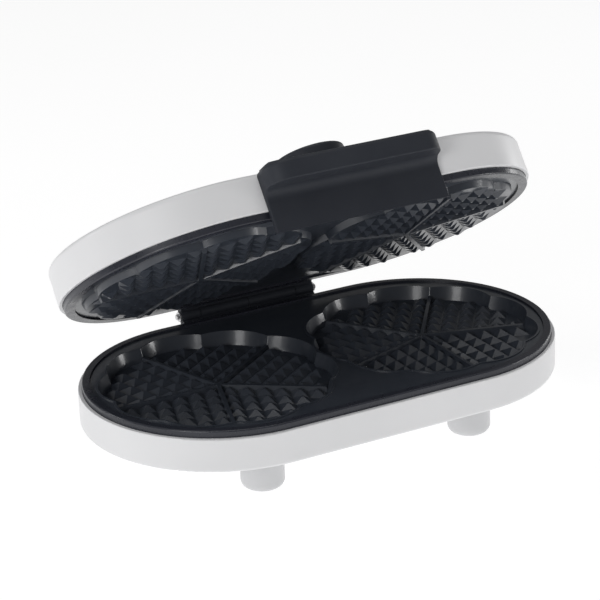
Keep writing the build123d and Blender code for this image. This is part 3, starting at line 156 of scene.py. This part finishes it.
def surface(name, dark, light, rough, grain, bump, blotch, metallic=0.0, spec=0.5, coat=0.0,
            coat_rough=0.15, stretch=None):
    """Procedural material: blotchy colour between two tones, varied roughness, fine bump."""
    material = bpy.data.materials.new(name)
    material.use_nodes = True
    tree = material.node_tree
    shader = tree.nodes["Principled BSDF"]
    coord = tree.nodes.new("ShaderNodeTexCoord").outputs["Object"]
    blotches = noise(tree, coord, blotch, BLOTCH_DETAIL, 0.5)
    tree.links.new(tones(tree, blotches, dark, light), shader.inputs["Base Color"])
    shine = noise(tree, coord, blotch * SHINE_SCALE, NOISE_DETAIL, SHINE_ROUGHNESS, stretch)
    roughness = spread(tree, shine, (NOISE_LOW, NOISE_HIGH), rough)
    tree.links.new(roughness, shader.inputs["Roughness"])
    relief = tree.nodes.new("ShaderNodeBump")
    relief.inputs["Strength"].default_value = bump
    relief.inputs["Distance"].default_value = GRAIN_DEPTH
    grains = noise(tree, coord, grain, NOISE_DETAIL, GRAIN_ROUGHNESS, stretch)
    tree.links.new(grains, relief.inputs["Height"])
    tree.links.new(relief.outputs["Normal"], shader.inputs["Normal"])
    shader.inputs["Metallic"].default_value = metallic
    shader.inputs["IOR"].default_value = DEFAULT_IOR
    shader.inputs["Specular IOR Level"].default_value = spec
    shader.inputs["Coat Weight"].default_value = coat
    shader.inputs["Coat Roughness"].default_value = coat_rough
    return material


def dress_nodes():
    """Gives every CAD node its finish, by its material slot."""
    materials = {name: surface(name, **finish) for name, finish in FINISHES.items()}
    slots = {part["node"]: part["material_slot"] for part in frame["record"]["subparts"]}
    for name, node in frame["nodes"].items():
        node.data.materials.clear()
        node.data.materials.append(materials[FINISH_OF.get(name, slots[name])])


def place(name, data):
    """A new object for a light, a camera or a mesh."""
    made = bpy.data.objects.new(name, data)
    bpy.context.scene.collection.objects.link(made)
    return made


def stage_floor():
    """White paper that glows a little, so its own tone stays above the faint shadows."""
    paper = surface("floor_white", **FLOOR_PAPER)
    shader = paper.node_tree.nodes["Principled BSDF"]
    shader.inputs["Emission Color"].default_value = (1.0, 1.0, 1.0, 1)
    shader.inputs["Emission Strength"].default_value = FLOOR_GLOW
    mesh = bpy.data.meshes.new("floor")
    corners = [(x * FLOOR_HALF, y * FLOOR_HALF, 0) for x, y in ((-1, -1), (1, -1), (1, 1), (-1, 1))]
    mesh.from_pydata(corners, [], [(0, 1, 2, 3)])
    floor = place("floor", mesh)
    floor.data.materials.append(paper)


def surroundings():
    """Dim surroundings that brighten overhead."""
    world = bpy.data.worlds.new("studio")
    bpy.context.scene.world = world
    world.use_nodes = True
    tree = world.node_tree
    background = tree.nodes["Background"]
    direction = tree.nodes.new("ShaderNodeTexCoord").outputs["Generated"]
    split = tree.nodes.new("ShaderNodeSeparateXYZ")
    tree.links.new(direction, split.inputs["Vector"])
    brightness = spread(tree, split.outputs["Z"], (0.0, 1.0), (WORLD_LOW, WORLD_HIGH))
    background.inputs["Color"].default_value = (1.0, 1.0, 1.0, 1)
    tree.links.new(brightness, background.inputs["Strength"])


def soft_box(name, location, aim_height, width, height, power):
    """Rectangular light that faces a point above the floor's middle."""
    light = bpy.data.lights.new(name, "AREA")
    light.energy = power
    light.shape = "RECTANGLE"
    light.size = width
    light.size_y = height
    lamp = place(name, light)
    lamp.location = location
    aim = Vector((0, 0, aim_height)) - Vector(location)
    lamp.rotation_euler = aim.to_track_quat("-Z", "Y").to_euler()


def photo_camera():
    """Camera at the photograph's viewing angle."""
    azimuth, elevation, roll = map(math.radians, (CAMERA_AZIMUTH, CAMERA_ELEVATION, CAMERA_ROLL))
    back = Vector((
        math.sin(azimuth) * math.cos(elevation),
        -math.cos(azimuth) * math.cos(elevation),
        math.sin(elevation),
    ))
    level = Vector((math.cos(azimuth), math.sin(azimuth), 0))
    upright = back.cross(level)
    right = level * math.cos(roll) + upright * math.sin(roll)
    up = upright * math.cos(roll) - level * math.sin(roll)
    lens = bpy.data.cameras.new("photo_camera")
    lens.lens = LENS
    lens.sensor_width = SENSOR_WIDTH
    lens.sensor_fit = "HORIZONTAL"
    pose = Matrix((right, up, back)).transposed().to_4x4()
    pose.translation = Vector(CAMERA_TARGET) + back * CAMERA_DISTANCE
    camera = place("photo_camera", lens)
    camera.matrix_world = pose
    bpy.context.scene.camera = camera


dress_nodes()
stage_floor()
surroundings()
for box, settings in SOFT_BOXES.items():
    soft_box(box, *settings)
photo_camera()
bpy.context.scene.view_settings.view_transform = "Standard"
bpy.context.scene.view_settings.look = "None"
